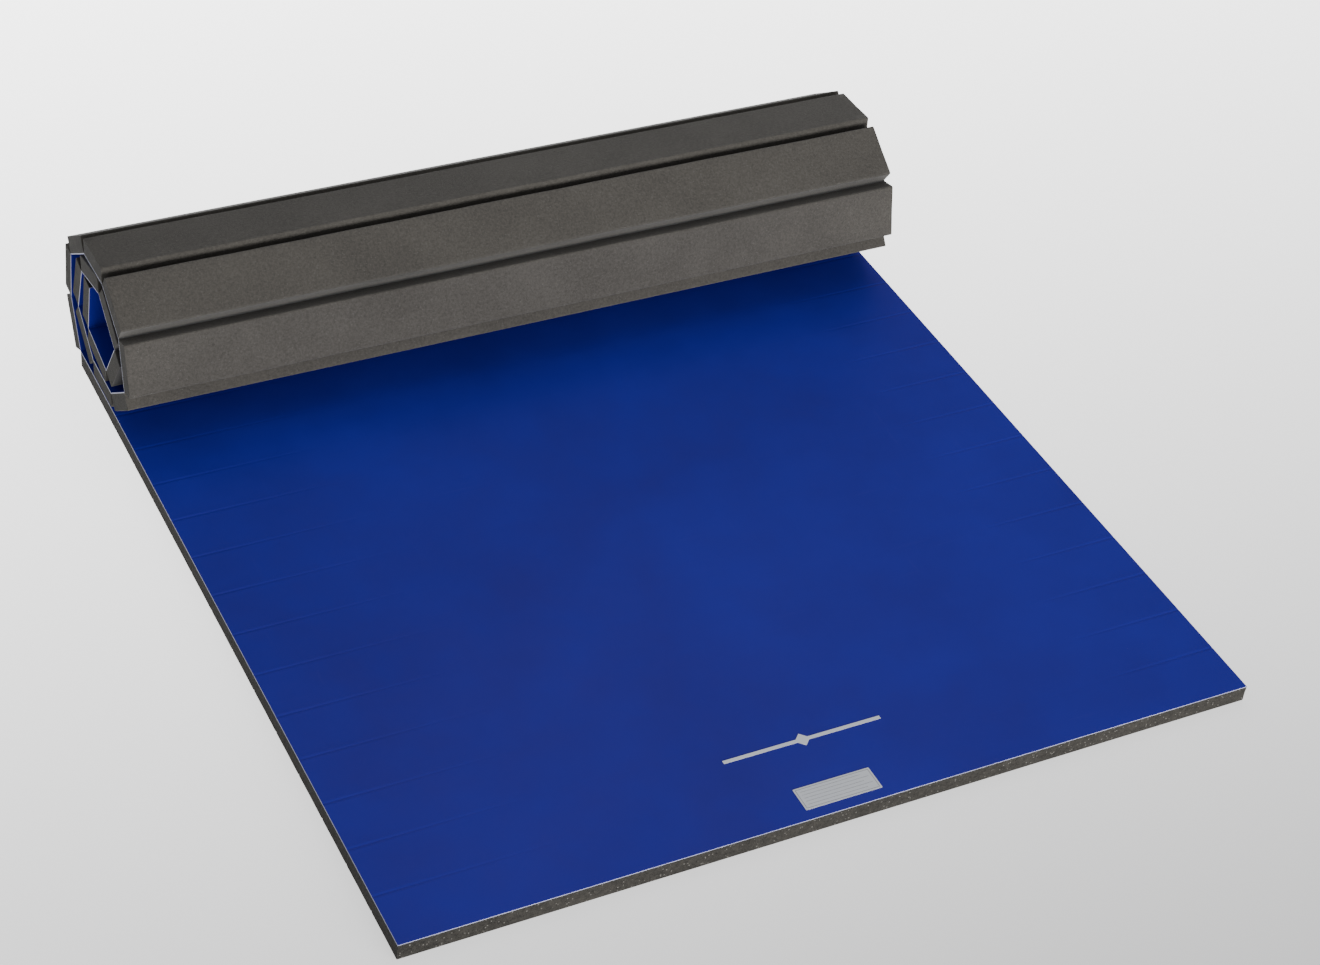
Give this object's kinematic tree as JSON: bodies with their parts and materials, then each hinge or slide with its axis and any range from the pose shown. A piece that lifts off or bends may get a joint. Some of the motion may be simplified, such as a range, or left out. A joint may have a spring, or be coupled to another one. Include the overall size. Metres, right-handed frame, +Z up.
{
  "type": "folding gym mat",
  "caption": "Roll-up slatted gym mat: foam slats hinged side by side under one vinyl sheet, the far half rolled up on the near half.",
  "frame": {"origin": "on the floor, in the middle of the mat's width and of its length as it lies rolled", "axes": "+X across the mat to the right, +Y along the mat from the near end to the roll, +Z up"},
  "size_m": [1.524, 1.5998, 0.3199],
  "materials": {
    "foam": "closed-cell cross-linked foam, fine grain",
    "vinyl": "semi-gloss vinyl with a fine leather grain",
    "label": "matte printed film",
    "printed_mark": "satin ink"
  },
  "bodies": {
    "flat_part": {"foam_slat_09": "foam", "foam_slat_10": "foam", "foam_slat_11": "foam", "foam_slat_12": "foam", "foam_slat_13": "foam", "foam_slat_14": "foam", "foam_slat_15": "foam", "vinyl_panel_fixed": "vinyl"},
    "slat_01": {"foam_slat_01": "foam", "vinyl_panel_01": "vinyl", "label": "label"},
    "slat_02": {"foam_slat_02": "foam", "vinyl_panel_02": "vinyl", "printed_mark": "printed_mark"},
    "slat_03": {"foam_slat_03": "foam", "vinyl_panel_03": "vinyl"},
    "slat_04": {"foam_slat_04": "foam", "vinyl_panel_04": "vinyl"},
    "slat_05": {"foam_slat_05": "foam", "vinyl_panel_05": "vinyl"},
    "slat_06": {"foam_slat_06": "foam", "vinyl_panel_06": "vinyl"},
    "slat_07": {"foam_slat_07": "foam", "vinyl_panel_07": "vinyl"},
    "slat_08": {"foam_slat_08": "foam", "vinyl_panel_08": "vinyl"},
    "slat_16": {"foam_slat_16": "foam", "vinyl_panel_16": "vinyl"},
    "slat_17": {"foam_slat_17": "foam", "vinyl_panel_17": "vinyl"},
    "slat_18": {"foam_slat_18": "foam", "vinyl_panel_18": "vinyl"},
    "slat_19": {"foam_slat_19": "foam", "vinyl_panel_19": "vinyl"},
    "slat_20": {"foam_slat_20": "foam", "vinyl_panel_20": "vinyl"},
    "slat_21": {"foam_slat_21": "foam", "vinyl_panel_21": "vinyl"},
    "slat_22": {"foam_slat_22": "foam", "vinyl_panel_22": "vinyl"},
    "slat_23": {"foam_slat_23": "foam", "vinyl_panel_23": "vinyl"},
    "slat_24": {"foam_slat_24": "foam", "vinyl_panel_24": "vinyl"},
    "slat_25": {"foam_slat_25": "foam", "vinyl_panel_25": "vinyl"},
    "slat_26": {"foam_slat_26": "foam", "vinyl_panel_26": "vinyl"},
    "slat_27": {"foam_slat_27": "foam", "vinyl_panel_27": "vinyl"},
    "slat_28": {"foam_slat_28": "foam", "vinyl_panel_28": "vinyl"},
    "slat_29": {"foam_slat_29": "foam", "vinyl_panel_29": "vinyl"},
    "slat_30": {"foam_slat_30": "foam", "vinyl_panel_30": "vinyl"}
  },
  "joints": [
    {"name": "hinge_08", "type": "hinge", "parent": "flat_part", "child": "slat_08", "pos_m": [0, 0.01272, 0.0333], "axis": [-1, 0, 0], "range_deg": [0, 65]},
    {"name": "hinge_07", "type": "hinge", "parent": "slat_08", "child": "slat_07", "pos_m": [0, -0.08888, 0.0333], "axis": [-1, 0, 0], "range_deg": [0, 32]},
    {"name": "hinge_06", "type": "hinge", "parent": "slat_07", "child": "slat_06", "pos_m": [0, -0.19048, 0.0333], "axis": [-1, 0, 0], "range_deg": [0, 49]},
    {"name": "hinge_05", "type": "hinge", "parent": "slat_06", "child": "slat_05", "pos_m": [0, -0.29208, 0.0333], "axis": [-1, 0, 0], "range_deg": [0, 32]},
    {"name": "hinge_04", "type": "hinge", "parent": "slat_05", "child": "slat_04", "pos_m": [0, -0.39368, 0.0333], "axis": [-1, 0, 0], "range_deg": [0, 36]},
    {"name": "hinge_03", "type": "hinge", "parent": "slat_04", "child": "slat_03", "pos_m": [0, -0.49528, 0.0333], "axis": [-1, 0, 0], "range_deg": [0, 43]},
    {"name": "hinge_02", "type": "hinge", "parent": "slat_03", "child": "slat_02", "pos_m": [0, -0.59688, 0.0333], "axis": [-1, 0, 0], "range_deg": [0, 66]},
    {"name": "hinge_01", "type": "hinge", "parent": "slat_02", "child": "slat_01", "pos_m": [0, -0.69848, 0.0333], "axis": [-1, 0, 0], "range_deg": [0, 37]},
    {"name": "hinge_15", "type": "hinge", "parent": "flat_part", "child": "slat_16", "pos_m": [0, 0.72392, 0.0333], "axis": [-1, 0, 0], "range_deg": [0, 65]},
    {"name": "hinge_16", "type": "hinge", "parent": "slat_16", "child": "slat_17", "pos_m": [0, 0.76686, 0.12538], "axis": [-1, 0, 0], "range_deg": [0, 32]},
    {"name": "hinge_17", "type": "hinge", "parent": "slat_17", "child": "slat_18", "pos_m": [0, 0.75447, 0.22622], "axis": [-1, 0, 0], "range_deg": [0, 49]},
    {"name": "hinge_18", "type": "hinge", "parent": "slat_18", "child": "slat_19", "pos_m": [0, 0.67024, 0.28304], "axis": [-1, 0, 0], "range_deg": [0, 32]},
    {"name": "hinge_19", "type": "hinge", "parent": "slat_19", "child": "slat_20", "pos_m": [0, 0.56871, 0.28658], "axis": [-1, 0, 0], "range_deg": [0, 36]},
    {"name": "hinge_20", "type": "hinge", "parent": "slat_20", "child": "slat_21", "pos_m": [0, 0.48447, 0.22977], "axis": [-1, 0, 0], "range_deg": [0, 43]},
    {"name": "hinge_21", "type": "hinge", "parent": "slat_21", "child": "slat_22", "pos_m": [0, 0.46162, 0.13077], "axis": [-1, 0, 0], "range_deg": [0, 66]},
    {"name": "hinge_22", "type": "hinge", "parent": "slat_22", "child": "slat_23", "pos_m": [0, 0.54276, 0.06963], "axis": [-1, 0, 0], "range_deg": [0, 37]},
    {"name": "hinge_23", "type": "hinge", "parent": "slat_23", "child": "slat_24", "pos_m": [0, 0.64436, 0.06963], "axis": [-1, 0, 0], "range_deg": [0, 40]},
    {"name": "hinge_24", "type": "hinge", "parent": "slat_24", "child": "slat_25", "pos_m": [0, 0.72219, 0.13494], "axis": [-1, 0, 0], "range_deg": [0, 68]},
    {"name": "hinge_25", "type": "hinge", "parent": "slat_25", "child": "slat_26", "pos_m": [0, 0.6908, 0.23156], "axis": [-1, 0, 0], "range_deg": [0, 61]},
    {"name": "hinge_26", "type": "hinge", "parent": "slat_26", "child": "slat_27", "pos_m": [0, 0.59106, 0.25095], "axis": [-1, 0, 0], "range_deg": [0, 49]},
    {"name": "hinge_27", "type": "hinge", "parent": "slat_27", "child": "slat_28", "pos_m": [0, 0.511, 0.1884], "axis": [-1, 0, 0], "range_deg": [0, 85]},
    {"name": "hinge_28", "type": "hinge", "parent": "slat_28", "child": "slat_29", "pos_m": [0, 0.56634, 0.10319], "axis": [-1, 0, 0], "range_deg": [0, 70]},
    {"name": "hinge_29", "type": "hinge", "parent": "slat_29", "child": "slat_30", "pos_m": [0, 0.66533, 0.12604], "axis": [-1, 0, 0], "range_deg": [0, 88]}
  ],
  "couplings": [
    {"joint": "hinge_07", "follows": "hinge_08", "ratio": 0.49231},
    {"joint": "hinge_06", "follows": "hinge_08", "ratio": 0.75385},
    {"joint": "hinge_05", "follows": "hinge_08", "ratio": 0.49231},
    {"joint": "hinge_04", "follows": "hinge_08", "ratio": 0.55385},
    {"joint": "hinge_03", "follows": "hinge_08", "ratio": 0.66154},
    {"joint": "hinge_02", "follows": "hinge_08", "ratio": 1.0154},
    {"joint": "hinge_01", "follows": "hinge_08", "ratio": 0.56923},
    {"joint": "hinge_16", "follows": "hinge_15", "ratio": 0.49231},
    {"joint": "hinge_17", "follows": "hinge_15", "ratio": 0.75385},
    {"joint": "hinge_18", "follows": "hinge_15", "ratio": 0.49231},
    {"joint": "hinge_19", "follows": "hinge_15", "ratio": 0.55385},
    {"joint": "hinge_20", "follows": "hinge_15", "ratio": 0.66154},
    {"joint": "hinge_21", "follows": "hinge_15", "ratio": 1.0154},
    {"joint": "hinge_22", "follows": "hinge_15", "ratio": 0.56923},
    {"joint": "hinge_23", "follows": "hinge_15", "ratio": 0.61538},
    {"joint": "hinge_24", "follows": "hinge_15", "ratio": 1.0462},
    {"joint": "hinge_25", "follows": "hinge_15", "ratio": 0.93846},
    {"joint": "hinge_26", "follows": "hinge_15", "ratio": 0.75385},
    {"joint": "hinge_27", "follows": "hinge_15", "ratio": 1.3077},
    {"joint": "hinge_28", "follows": "hinge_15", "ratio": 1.0769},
    {"joint": "hinge_29", "follows": "hinge_15", "ratio": 1.3538}
  ]
}
